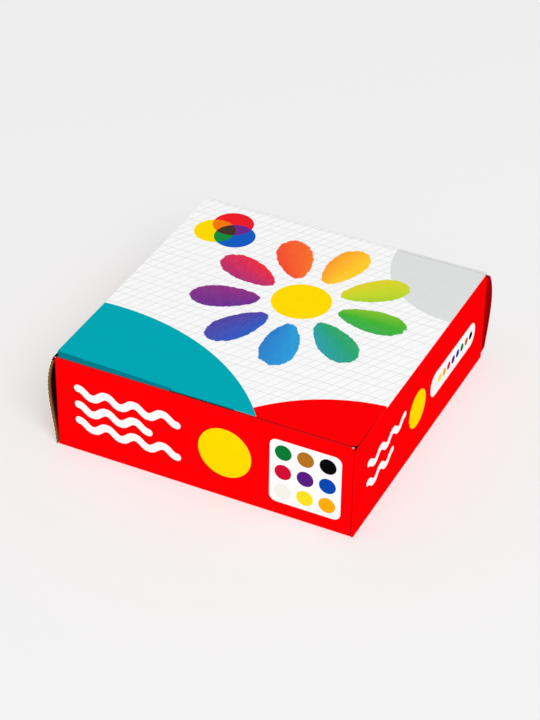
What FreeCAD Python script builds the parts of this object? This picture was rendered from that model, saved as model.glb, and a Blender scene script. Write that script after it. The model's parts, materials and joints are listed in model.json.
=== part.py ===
import FreeCAD, Part
import math
import os

# Gouache paint box: a roll-end tuck-top carton with screw-cap pots in it.
# Millimetres. X runs to the right along the front, Y to the back, Z up.
# The origin is the middle of the base, on the table.

# Driving dimensions: the pots, the room that they stand in, and the board round them
jar_radius = 19.3
pot_height = 36.6
jar_columns = 3
jar_rows = 3
column_gap = 0.85
row_gap = 1.5
head_room = 3.0
board = 1.0

# Folds and fits of the board
fold_radius = 0.8
fold_limit_share = 0.95
flap_slip = 0.25
crease_gap = 0.25
end_gap = 0.3
front_setback = 0.2
rear_setback = 0.6

# Springy panels
left_bow = 2.5
left_lean_share = 6.0
back_bow = 5.5
back_lean_share = 2.0
bow_steps = 12

# Corner flaps
corner_flap_length = 30.0
corner_flap_chamfer = 5.0
corner_reach = 0.6
corner_turn_start = 0.3
corner_turn_end = 1.2

# Locking tabs of the inner side walls
lock_tab_width = 14.0
lock_tab_offset = 30.0
lock_tab_slip = 0.2

# Lid
lid_side_inset = 0.6
tuck_clearance = 0.5
tuck_length = 18.0
tuck_side_gap = 0.6
tuck_corner_radius = 9.0
tuck_lean_deg = 8.0
front_wall_drop = 0.1
lid_relief_width = 1.8
lid_relief_depth = 2.5
thumb_tab_width = 26.5
thumb_tab_offset = 0.3
thumb_tab_radius = 0.4
thumb_tab_gap = 0.4
thumb_tab_slit = 0.6

# Pots
shoulder_width = 2.7
jar_wall = 1.1
jar_floor = 1.4
jar_foot_recess = 0.5
jar_foot_width = 4.3
jar_foot_fillet = 2.2
jar_floor_fillet = 1.4
jar_shoulder_fillet = 0.6
jar_shoulder_wall = 1.3
neck_wall = 1.3
thread_depth = 0.35
thread_height = 0.8
thread_slope = 0.3
thread_start = 1.3
thread_pitch = 2.0
bead_depth = 0.6
bead_start = 1.4
bead_height = 0.8

# Fill
paint_head = 0.3
paint_gap = 0.05

# Sealing disc, cap and tear band
seal_thickness = 1.0
cap_height = 9.7
cap_clearance = 0.55
cap_wall = 1.1
cap_top_thickness = 1.2
cap_recess_depth = 0.4
cap_rim = 3.1
cap_edge_fillet = 0.8
rib_count = 64
rib_depth = 0.4
band_height = 3.5
bridge_height = 0.6
bridge_width = 0.8
bridge_count = 8
lip_clearance = 0.35
lip_height = 0.8

# One overrun for every cut, and how close two places are to count as one
overrun = 2.0
same_place = 0.002

# Derived sizes of a pot, from its top down to the shoulder
neck_radius = jar_radius - shoulder_width
cap_under = pot_height - cap_top_thickness
neck_top = cap_under - seal_thickness
cap_skirt_bottom = pot_height - cap_height
band_top = cap_skirt_bottom - bridge_height
shoulder_height = band_top - band_height
thread_first = cap_skirt_bottom + thread_start
thread_turns = int((neck_top - thread_first) / thread_pitch)
cap_inner = neck_radius + thread_depth + cap_clearance
cap_radius = cap_inner + cap_wall

# Derived sizes of the carton, folded round the pots
half_board = board / 2
outer_fold = min(fold_radius, fold_limit_share * board)
slot_width = board + 2 * flap_slip
double_wall = 2 * board + slot_width
inside_width = jar_columns * (2 * jar_radius + column_gap) + column_gap
tuck_room = board + tuck_clearance + tuck_length * math.sin(math.radians(tuck_lean_deg))
inside_depth = tuck_room + jar_rows * (2 * jar_radius + row_gap) + row_gap
half_width = inside_width / 2 + double_wall
half_depth = inside_depth / 2 + board
box_height = 2 * board + pot_height + head_room
lid_under = box_height - board
roll_under = lid_under - board
flap_outer_x = half_width - board - flap_slip
flap_inner_x = flap_outer_x - board
inner_face_x = half_width - double_wall
flap_bottom = board + flap_slip
flap_top = roll_under - flap_slip
hinge_y = half_depth - half_board
hinge_z = box_height - half_board
tuck_axis_y = -half_depth + board + tuck_clearance + half_board
front_wall_top = box_height - front_wall_drop
lid_half = half_width - lid_side_inset
corner_outer_x = half_width + corner_reach


def vec(x, y, z):
    return FreeCAD.Vector(x, y, z)


along_x = vec(1, 0, 0)
along_y = vec(0, 1, 0)
along_z = vec(0, 0, 1)


def block(x0, x1, y0, y1, z0, z1):
    """Box between two corners."""
    return Part.makeBox(x1 - x0, y1 - y0, z1 - z0, vec(x0, y0, z0))


def near(a, b):
    return abs(a - b) < same_place


def straight_edges(shape, direction, test):
    """Edges that run along a direction and whose middle passes the test."""
    found = []
    for edge in shape.Edges:
        ends = [v.Point for v in edge.Vertexes]
        if len(ends) == 2:
            run = ends[1] - ends[0]
            if near(run.cross(direction).Length, 0) and test(edge.CenterOfMass):
                found.append(edge)
    return found


def prism(points, direction):
    """Solid from a closed polygon, pushed along a direction."""
    wire = Part.makePolygon(points + [points[0]])
    return Part.Face(wire).extrude(direction)


def mirrored(shape):
    """The same piece for the other side of the box."""
    return shape.mirror(vec(0, 0, 0), along_x)


def turned(profile):
    """Solid of revolution about Z from (radius, height) points."""
    points = [vec(r, 0, z) for r, z in profile]
    wire = Part.makePolygon(points + [points[0]])
    return Part.Face(wire).revolve(vec(0, 0, 0), along_z, 360)


def bow_curve(bow, lean_share, low, high):
    """Mid line of a bowed panel, fuller above: (offset, height, normal) from its foot to its top."""
    span = high - low
    fine = bow_steps * bow_steps
    peak = max(u * (1 - u) * (1 + lean_share * u) for u in [i / fine for i in range(fine + 1)])
    line = []
    for i in range(bow_steps + 1):
        u = i / bow_steps
        offset = bow * u * (1 - u) * (1 + lean_share * u) / peak
        slope = 1 + 2 * (lean_share - 1) * u - 3 * lean_share * u * u
        slope = bow * slope / peak / span
        length = math.hypot(1, slope)
        line.append((offset, low + span * u, (1 / length, -slope / length)))
    return line


def spline(points):
    curve = Part.BSplineCurve()
    curve.interpolate(points)
    return curve.toShape()


def bowed_panel(bow, lean_share, low, high, place):
    """Face of a bowed board with rolled ends; place turns (offset, height) into a point."""
    line = bow_curve(bow, lean_share, low, high)
    outer = [place(o + half_board * n[0], z + half_board * n[1]) for o, z, n in line]
    inner = [place(o - half_board * n[0], z - half_board * n[1]) for o, z, n in line]
    first = line[0]
    last = line[-1]
    foot = place(first[0] + half_board * first[2][1], first[1] - half_board * first[2][0])
    top = place(last[0] - half_board * last[2][1], last[1] + half_board * last[2][0])
    edges = [
        spline(outer),
        Part.Arc(outer[-1], top, inner[-1]).toShape(),
        spline(inner[::-1]),
        Part.Arc(inner[0], foot, outer[0]).toShape(),
    ]
    return Part.Face(Part.Wire(edges))


def bow_trim(place, direction):
    """Everything on the inside of the back wall's outer face, for trimming the corner flaps."""
    line = bow_curve(back_bow, back_lean_share, half_board, hinge_z)
    outer = [place(o + half_board * n[0], z + half_board * n[1]) for o, z, n in line]
    reach = -corner_flap_length - overrun
    inside = [place(reach, outer[-1].z), place(reach, outer[0].z)]
    edges = [
        spline(outer),
        Part.makeLine(outer[-1], inside[0]),
        Part.makeLine(inside[0], inside[1]),
        Part.makeLine(inside[1], outer[0]),
    ]
    return Part.Face(Part.Wire(edges)).extrude(direction)


parts = {}

# Base panel with the slots for the locking tabs
base = block(
    -half_width + board, half_width - board,
    -half_depth + board, half_depth - board,
    0, board,
)
for side in (-1, 1):
    for end in (-1, 1):
        slot_x = side * (inner_face_x + half_board)
        slot_y = end * lock_tab_offset
        slot_half_x = half_board + lock_tab_slip
        slot_half_y = lock_tab_width / 2 + lock_tab_slip
        base = base.cut(block(
            slot_x - slot_half_x, slot_x + slot_half_x,
            slot_y - slot_half_y, slot_y + slot_half_y,
            -overrun, board + overrun,
        ))
parts["base_panel"] = base

# Front wall, with rolled outer folds
front = block(
    -flap_outer_x, flap_outer_x,
    -half_depth, -half_depth + board,
    0, front_wall_top,
)


def on_front(p):
    return near(p.y, -half_depth)


def on_front_foot(p):
    return on_front(p) and near(p.z, 0)


front_folds = straight_edges(front, along_z, on_front)
front_folds += straight_edges(front, along_x, on_front_foot)
front = front.makeFillet(outer_fold, front_folds)
parts["front_wall"] = front

# Corner flaps of the front wall
flap_end_y = -half_depth + corner_flap_length
flap_points = [
    vec(flap_inner_x, -half_depth + board, flap_bottom),
    vec(flap_inner_x, flap_end_y, flap_bottom + corner_flap_chamfer),
    vec(flap_inner_x, flap_end_y, flap_top - corner_flap_chamfer),
    vec(flap_inner_x, -half_depth + board, flap_top),
]
front_flap = prism(flap_points, vec(board, 0, 0))
parts["front_right_corner_flap"] = front_flap
parts["front_left_corner_flap"] = mirrored(front_flap)

# Corner flaps of the back wall, drawn out at the corner by the bow
turn_start_y = half_depth - corner_turn_start
turn_end_y = half_depth + corner_turn_end
turn_angle = math.atan2(corner_outer_x - flap_outer_x, turn_end_y - turn_start_y)
turn_shift = board * math.tan(turn_angle / 2)
bow_end_y = half_depth + back_bow + overrun
back_flap_y = half_depth - corner_flap_length
inner_path = [
    (flap_inner_x, back_flap_y),
    (flap_inner_x, turn_start_y + turn_shift),
    (corner_outer_x - board, turn_end_y + turn_shift),
    (corner_outer_x - board, bow_end_y),
]
outer_path = [
    (flap_outer_x, back_flap_y),
    (flap_outer_x, turn_start_y),
    (corner_outer_x, turn_end_y),
    (corner_outer_x, bow_end_y),
]
flap_outline = [vec(x, y, flap_bottom) for x, y in inner_path + outer_path[::-1]]
back_flap = prism(flap_outline, vec(0, 0, flap_top - flap_bottom))


def behind_hinge(offset, z):
    return vec(flap_inner_x - overrun, hinge_y + offset, z)


trim = bow_trim(behind_hinge, vec(corner_outer_x - flap_inner_x + 2 * overrun, 0, 0))
back_flap = back_flap.common(trim)
for level, step in ((flap_bottom, 1), (flap_top, -1)):
    corner = prism(
        [
            vec(flap_inner_x - overrun, back_flap_y, level),
            vec(flap_inner_x - overrun, back_flap_y + corner_flap_chamfer, level),
            vec(flap_inner_x - overrun, back_flap_y, level + step * corner_flap_chamfer),
        ],
        vec(board + 2 * overrun, 0, 0),
    )
    back_flap = back_flap.cut(corner)
parts["back_right_corner_flap"] = back_flap
parts["back_left_corner_flap"] = mirrored(back_flap)

# Back wall, whose rolled top edge is the lid's hinge
back_half = corner_outer_x - board


def back_place(offset, z):
    return vec(-back_half, hinge_y + offset, z)


back = bowed_panel(back_bow, back_lean_share, half_board, hinge_z, back_place)
back = back.extrude(vec(2 * back_half, 0, 0))
beyond_path = inner_path + [
    (corner_outer_x + overrun, bow_end_y),
    (corner_outer_x + overrun, back_flap_y),
]
beyond = prism([vec(x, y, -overrun) for x, y in beyond_path], vec(0, 0, box_height + 2 * overrun))
back = back.cut(beyond).cut(mirrored(beyond))
parts["back_wall"] = back

# Double side walls: outer leaf, roll-over and inner leaf
wall_front = -half_depth + front_setback
wall_rear = half_depth - rear_setback
leaf_front = -half_depth + board + end_gap
leaf_rear = half_depth - board - end_gap


def on_side_fold(p):
    return near(p.z, 0) and near(p.x, half_width)


def on_roll_edge(p):
    return near(p.z, lid_under) and (near(p.x, half_width) or near(p.x, inner_face_x))


outer_leaf = block(half_width - board, half_width, wall_front, wall_rear, 0, roll_under)
side_fold = straight_edges(outer_leaf, along_y, on_side_fold)
parts["right_outer_wall"] = outer_leaf.makeFillet(outer_fold, side_fold)


def left_place(offset, z):
    return vec(-half_width + half_board - offset, wall_front, z)


bowed_leaf = bowed_panel(left_bow, left_lean_share, half_board, roll_under, left_place)
bowed_leaf = bowed_leaf.extrude(vec(0, wall_rear - wall_front, 0))
above = block(
    -half_width - left_bow - overrun, 0,
    -half_depth - overrun, half_depth + overrun,
    roll_under, box_height + overrun,
)
parts["left_outer_wall"] = bowed_leaf.cut(above)

roll = block(inner_face_x, half_width, leaf_front, leaf_rear, roll_under, lid_under)
roll = roll.makeFillet(outer_fold, straight_edges(roll, along_y, on_roll_edge))
parts["right_roll_over"] = roll
parts["left_roll_over"] = mirrored(roll)

inner_leaf = block(inner_face_x, inner_face_x + board, leaf_front, leaf_rear, board, roll_under)
for end in (-1, 1):
    tab_y = end * lock_tab_offset
    inner_leaf = inner_leaf.fuse(block(
        inner_face_x, inner_face_x + board,
        tab_y - lock_tab_width / 2, tab_y + lock_tab_width / 2,
        0, board,
    ))
inner_leaf = inner_leaf.removeSplitter()
parts["right_inner_wall"] = inner_leaf
parts["left_inner_wall"] = mirrored(inner_leaf)

# Lid panel with a rolled front edge, slanted front corners and a flat thumb tab before the front wall
lid_rear = hinge_y - half_board - crease_gap
lid = block(-lid_half, lid_half, tuck_axis_y, lid_rear, lid_under, box_height)
roll_start = vec(-lid_half, tuck_axis_y, hinge_z)
lid = lid.fuse(Part.makeCylinder(half_board, 2 * lid_half, roll_start, along_x))
lid_nose = tuck_axis_y - half_board
relief_shares = [(-1, 2), (2, -1), (-1, -1)]
relief_points = [
    vec(-lid_half + across * lid_relief_width, lid_nose + along * lid_relief_depth, lid_under - overrun)
    for across, along in relief_shares
]
relief = prism(relief_points, vec(0, 0, board + 2 * overrun))
lid = lid.cut(relief).cut(mirrored(relief))
tab_left = thumb_tab_offset - thumb_tab_width / 2
tab_right = thumb_tab_offset + thumb_tab_width / 2
tab_front = -half_depth + board + thumb_tab_gap
thumb_tab = block(tab_left, tab_right, tab_front, tuck_axis_y, lid_under, box_height)


def on_tab_front(p):
    return near(p.y, tab_front)


thumb_tab = thumb_tab.makeFillet(thumb_tab_radius, straight_edges(thumb_tab, along_z, on_tab_front))
lid = lid.fuse(thumb_tab).removeSplitter()
parts["lid_panel"] = lid

# Tuck flap, hung from the lid's front crease and leaning inwards
tuck_half = inner_face_x - tuck_side_gap
tuck_top = hinge_z - half_board - crease_gap
tuck_low = hinge_z - tuck_length
tuck = block(
    -tuck_half, tuck_half,
    tuck_axis_y - half_board, tuck_axis_y + half_board,
    tuck_low, tuck_top,
)


def on_tuck_foot(p):
    return near(p.z, tuck_low)


tuck = tuck.makeFillet(tuck_corner_radius, straight_edges(tuck, along_y, on_tuck_foot))
tab_reach = math.hypot(tuck_axis_y - tab_front, half_board) + thumb_tab_slit
tuck = tuck.cut(block(
    tab_left - thumb_tab_slit, tab_right + thumb_tab_slit,
    tuck_axis_y - board, tuck_axis_y + board,
    hinge_z - tab_reach, hinge_z,
))
tuck.rotate(vec(0, tuck_axis_y, hinge_z), along_x, tuck_lean_deg)
parts["tuck_flap"] = tuck

# One pot, standing at the origin
inner_radius = jar_radius - jar_wall
bore_radius = neck_radius - neck_wall
floor_top = jar_foot_recess + jar_floor
inner_shoulder = shoulder_height - jar_shoulder_wall
jar_foot_radius = jar_radius - jar_foot_width

bead_low = shoulder_height + bead_start
bead_high = bead_low + bead_height
neck_profile = [
    (neck_radius, shoulder_height),
    (neck_radius, bead_low),
    (neck_radius + bead_depth, bead_low),
    (neck_radius + bead_depth, bead_high),
    (neck_radius, bead_high),
]
for turn in range(thread_turns):
    ring = thread_first + turn * thread_pitch
    neck_profile += [
        (neck_radius, ring),
        (neck_radius + thread_depth, ring + thread_slope),
        (neck_radius + thread_depth, ring + thread_height - thread_slope),
        (neck_radius, ring + thread_height),
    ]
jar_profile = [
    (0, jar_foot_recess),
    (jar_foot_radius, jar_foot_recess),
    (jar_foot_radius, 0),
    (jar_radius, 0),
    (jar_radius, shoulder_height),
]
jar_profile += neck_profile
jar_profile += [
    (neck_radius, neck_top),
    (bore_radius, neck_top),
    (bore_radius, inner_shoulder),
    (inner_radius, inner_shoulder),
    (inner_radius, floor_top),
    (0, floor_top),
]
jar = turned(jar_profile)


def ring_edges(shape, radius, height):
    """Circular edges of a given radius at a given height."""
    found = []
    for edge in shape.Edges:
        curve = edge.Curve
        if isinstance(curve, Part.Circle) and near(curve.Radius, radius) and near(curve.Center.z, height):
            found.append(edge)
    return found


jar = jar.makeFillet(jar_foot_fillet, ring_edges(jar, jar_radius, 0))
jar = jar.makeFillet(jar_shoulder_fillet, ring_edges(jar, jar_radius, shoulder_height))
jar = jar.makeFillet(jar_floor_fillet, ring_edges(jar, inner_radius, floor_top))

# Fill of paint
paint_radius = inner_radius - paint_gap
paint_height = inner_shoulder - paint_head - floor_top
paint = Part.makeCylinder(paint_radius, paint_height, vec(0, 0, floor_top))
paint = paint.makeFillet(jar_floor_fillet + paint_gap, ring_edges(paint, paint_radius, floor_top))

# Sealing disc on the neck's rim
seal = Part.makeCylinder(neck_radius, seal_thickness, vec(0, 0, neck_top))

# Ribbed screw cap
rib_points = []
for i in range(2 * rib_count):
    angle = math.pi * i / rib_count
    reach = cap_radius - (rib_depth if i % 2 else 0)
    rib_points.append(vec(reach * math.cos(angle), reach * math.sin(angle), cap_skirt_bottom))
cap = prism(rib_points, vec(0, 0, cap_height))
cap_limit = Part.makeCylinder(cap_radius, cap_height, vec(0, 0, cap_skirt_bottom))
cap_limit = cap_limit.makeFillet(cap_edge_fillet, ring_edges(cap_limit, cap_radius, pot_height))
cap = cap.common(cap_limit)
hollow_low = cap_skirt_bottom - overrun
cap_hollow = Part.makeCylinder(cap_inner, cap_under - hollow_low, vec(0, 0, hollow_low))
dish_low = pot_height - cap_recess_depth
cap_dish = Part.makeCylinder(cap_radius - cap_rim, cap_recess_depth + overrun, vec(0, 0, dish_low))
cap = cap.cut(cap_hollow).cut(cap_dish)

# Tear band, held under the bead of the neck by its lip
lip_radius = neck_radius + lip_clearance
band = turned([
    (lip_radius, shoulder_height),
    (cap_radius, shoulder_height),
    (cap_radius, band_top),
    (cap_inner, band_top),
    (cap_inner, shoulder_height + lip_height),
    (lip_radius, shoulder_height + lip_height),
])
bridge_mid = (cap_inner + cap_radius - rib_depth) / 2
bridge_reach = cap_radius - rib_depth - cap_inner
for i in range(bridge_count):
    bridge = block(
        bridge_mid - bridge_reach / 2, bridge_mid + bridge_reach / 2,
        -bridge_width / 2, bridge_width / 2,
        band_top - bridge_height, cap_skirt_bottom,
    )
    bridge.rotate(vec(0, 0, 0), along_z, 360 * i / bridge_count)
    band = band.fuse(bridge)
band = band.removeSplitter()

# Pots in their rows, numbered from the front left
first_x = -inner_face_x + column_gap + jar_radius
first_y = -half_depth + board + tuck_room + row_gap + jar_radius
pieces = {"jar": jar, "paint": paint, "seal": seal, "cap": cap, "band": band}
for row in range(jar_rows):
    for column in range(jar_columns):
        number = row * jar_columns + column + 1
        spot = vec(
            first_x + column * (2 * jar_radius + column_gap),
            first_y + row * (2 * jar_radius + row_gap),
            board,
        )
        for name, piece in pieces.items():
            parts["%s_%d" % (name, number)] = piece.translated(spot)

os.makedirs("parts", exist_ok=True)
for name, shape in parts.items():
    solid = shape.Solids[0] if len(shape.Solids) == 1 else shape
    solid.exportStep("parts/%s.step" % name)
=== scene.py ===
import json
import math

import bmesh
import bpy
from mathutils import Matrix, Vector


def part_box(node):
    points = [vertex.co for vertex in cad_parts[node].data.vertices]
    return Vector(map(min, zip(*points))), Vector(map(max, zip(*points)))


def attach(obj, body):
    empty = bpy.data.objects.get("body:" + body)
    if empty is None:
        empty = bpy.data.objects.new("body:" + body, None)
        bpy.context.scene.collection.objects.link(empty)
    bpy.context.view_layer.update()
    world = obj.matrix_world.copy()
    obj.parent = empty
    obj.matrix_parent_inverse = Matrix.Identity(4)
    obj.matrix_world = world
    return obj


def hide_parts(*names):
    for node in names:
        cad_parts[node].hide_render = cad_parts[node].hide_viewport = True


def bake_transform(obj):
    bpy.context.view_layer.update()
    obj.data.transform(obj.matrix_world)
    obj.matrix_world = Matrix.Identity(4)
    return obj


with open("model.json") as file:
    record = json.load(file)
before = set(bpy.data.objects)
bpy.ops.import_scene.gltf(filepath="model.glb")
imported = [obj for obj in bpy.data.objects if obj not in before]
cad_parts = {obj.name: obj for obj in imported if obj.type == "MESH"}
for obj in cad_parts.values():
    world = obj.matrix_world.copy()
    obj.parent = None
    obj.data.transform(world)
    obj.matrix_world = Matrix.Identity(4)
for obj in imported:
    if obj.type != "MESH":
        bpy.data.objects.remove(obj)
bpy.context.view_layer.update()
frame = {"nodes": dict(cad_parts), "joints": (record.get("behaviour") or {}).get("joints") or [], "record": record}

bl_info = {
    "name": "Gouache paint box",
    "version": (1, 0, 0),
    "blender": (4, 5, 0),
    "location": "View3D > Sidebar > Paint box",
    "description": "Dresses a tuck-top carton and the pots of gouache in it, and sets the stage",
    "category": "Object",
}

MM = 0.001
SAME_PLACE = 0.05 * MM      # a point this close to a face lies on it
TOUCHING = 0.001 * MM       # points this close are one
SHARP = math.radians(40)    # edges that turn further than this are sharp
LEFT, RIGHT = (-1.0, 0.0, 0.0), (1.0, 0.0, 0.0)
FRONT, REAR = (0.0, -1.0, 0.0), (0.0, 1.0, 0.0)
BELOW, ABOVE = (0.0, 0.0, -1.0), (0.0, 0.0, 1.0)
POTS = range(1, 10)
PAINTS = ("white", "lemon", "golden", "crimson", "violet", "blue", "green", "ochre", "black")
SLOT_COLOURS = {entry["slot"]: entry["base_color"][:3] for entry in frame["record"]["materials"]}
JOINTS = {joint["name"]: joint for joint in frame["joints"]}


def linear(channel):
    """Light value of one display channel from 0 to 1."""
    if channel <= 0.04045:
        return channel / 12.92
    return ((channel + 0.055) / 1.055) ** 2.4


def shade(red, green, blue):
    """Colour from display values of 0 to 255."""
    return tuple(linear(value / 255) for value in (red, green, blue))


def slot_shade(name):
    """Colour of one of the record's material slots."""
    return tuple(linear(value) for value in SLOT_COLOURS[name])


def ink(name, about, value):
    return bpy.props.FloatVectorProperty(
        name=name, description=about, default=value, size=3, min=0.0, max=1.0, subtype="COLOR")


def size(name, about, value):
    return bpy.props.FloatProperty(
        name=name, description=about, default=value, min=0.0, unit="LENGTH", precision=5)


def turn(name, about, degrees):
    return bpy.props.FloatProperty(
        name=name, description=about, default=math.radians(degrees), subtype="ANGLE")


def amount(name, about, value):
    return bpy.props.FloatProperty(name=name, description=about, default=value, min=0.0)


class CartonSettings(bpy.types.PropertyGroup):
    """Inks and board of the carton."""

    red: ink("Red ink", "Ground of the walls", shade(248, 0, 5))
    # Painted shade: darker red standing for the shade on the back wall's corner flaps and on the front wall's top
    # edge
    shaded_red: ink("Deep red ink", "Back wall's corner flaps, front wall's top edge", shade(146, 0, 6))
    teal: ink("Teal ink", "Field at the left of the lid's front fold", shade(0, 166, 178))
    # Painted shade: the deep teal band stands for the shade where the lid's front fold rolls down
    shaded_teal: ink("Deep teal ink", "Rubbed crease of that field", shade(0, 122, 137))
    # Painted shade: dark teal for the front wall's top edge lying in the lid's shade
    edge_shade_teal: ink("Edge teal", "Front wall's top edge beside that field", shade(6, 100, 113))
    # Painted shade: near black for the shadowed slit under the thumb tab
    seam: ink("Seam", "Inner half of the front wall's top edge before the tab", shade(24, 14, 18))
    white: ink("White board", "Coated side of the board, unprinted", shade(247, 247, 247))
    yellow: ink("Yellow ink", "Plain discs", shade(253, 216, 2))
    grey: ink("Grey ink", "Pale quarter disc of the lid", shade(219, 221, 221))
    rule: ink("Ruling", "Thin lines of the copybook ruling", shade(208, 210, 212))
    ink_shade: ink("Ink shade", "Slight unevenness of the ink", shade(40, 34, 34))
    kraft: ink("Kraft", "Brown reverse of the board", shade(176, 130, 84))
    # Real fibres and specks of the kraft; also painted shade in the flute hollows of cut edges and in the left
    # wall's lining
    kraft_dark_and_shade: ink("Dark kraft", "Fibres and hollows of the board", shade(104, 66, 34))
    # Painted shade: near black for the unlit hollows and gaps between the panels, not soot
    painted_shade: ink("Soot", "Unlit hollows between the panels", shade(42, 11, 5))
    cut_edge: ink("Cut edge", "Bare paper on a cut edge", shade(246, 228, 204))
    fluted: ink("Fluted paper", "Corrugated layer on a cut edge", shade(146, 100, 58))
    edge_bevel: size("Edge bevel", "Softened edges of the board", 0.1 * MM)
    flute_pitch: size("Flute pitch", "Length of one wave of the corrugated layer", 1.9 * MM)
    liner: size("Liner", "Thickness of one outer paper of the board", 0.2 * MM)
    medium: size("Fluted thickness", "Thickness of the corrugated layer's paper", 0.16 * MM)
    coat: size("Coat", "Depth of the pale outer paper on a cut edge", 0.46 * MM)
    left_lean: amount("Left lean", "How much fuller the left wall's bow is above than below", 6.0)
    skin: size("Skin", "Thickness of the paper over a crease", 0.08 * MM)
    skin_reach: size("Skin reach", "How far that paper runs on along each panel", 1.2 * MM)
    fold_bulge: size("Fold bulge", "How far the front fold swells towards the front wall", 0.36 * MM)
    tab_slit: size("Tab slit", "Gap between the paper of the front fold and the thumb tab", 0.6 * MM)


class PotSettings(bpy.types.PropertyGroup):
    """Plastics and paints of the pots."""

    meniscus: size("Meniscus", "How far the paint climbs its jar's wall", 0.55 * MM)
    mark_radius: size("Mark radius", "Radius of the moulded ring in a cap's dish", 9.0 * MM)
    mark_height: size("Mark height", "How far that ring and the gate mark stand up", 0.22 * MM)
    gate_radius: size("Gate radius", "Radius of the gate mark in a cap's middle", 1.1 * MM)
    cap: ink("Cap", "White screw caps and tear bands", shade(243, 243, 240))
    foam: ink("Foam", "Sealing discs", shade(236, 236, 230))
    jar: ink("Jar", "Tint of the clear jars", shade(244, 249, 250))


for number, paint in zip(POTS, PAINTS):
    PotSettings.__annotations__["paint_" + paint] = ink(
        paint.capitalize() + " paint", "Gouache of pot %d" % number, slot_shade("paint_" + paint))


class StageSettings(bpy.types.PropertyGroup):
    """Floor, light and camera."""

    floor: ink("Floor", "Pale floor and background", shade(239, 239, 239))
    floor_radius: size("Floor radius", "Radius of the round floor", 6.0)
    floor_glow: amount("Floor glow", "Share of the floor that shows its plain colour", 0.45)
    sky: amount("Sky", "Light of the even surroundings", 0.5)
    key_power: bpy.props.FloatProperty(
        name="Key power", description="Power of the large soft lamp", default=177.0, min=0.0, unit="POWER")
    key_size: size("Key size", "Width of the soft lamp", 3.2)
    key_distance: size("Key distance", "From the box to the lamp", 4.6)
    key_azimuth: turn("Key azimuth", "Lamp's turn to the right of the front", 42)
    key_elevation: turn("Key elevation", "Lamp's height over the floor", 46)
    view_azimuth: turn("View azimuth", "Camera's turn to the right of the front", 25.2908)
    view_elevation: turn("View elevation", "Camera's height over the floor", 35.756)
    view_roll: turn("View roll", "Camera's lean", 0.9545)
    view_distance: size("View distance", "From the camera to the point that it turns about", 0.87667)
    view_centre: bpy.props.FloatVectorProperty(
        name="View centre", description="Point that the camera turns about", default=(0.0006, 0.0, 0.02),
        subtype="TRANSLATION")
    view_aside: bpy.props.FloatVectorProperty(
        name="View aside", description="How far the picture's middle lies right of and above that point",
        default=(-0.002535, -0.000571), size=2, subtype="TRANSLATION")
    focal_length: bpy.props.FloatProperty(
        name="Focal length", description="Lens, for a sensor of 36 mm on the picture's long side",
        default=111.525, unit="CAMERA")


class PaintBoxSettings(bpy.types.PropertyGroup):
    """All settings of the paint box."""

    carton: bpy.props.PointerProperty(type=CartonSettings)
    pots: bpy.props.PointerProperty(type=PotSettings)
    stage: bpy.props.PointerProperty(type=StageSettings)


# Node materials

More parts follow.
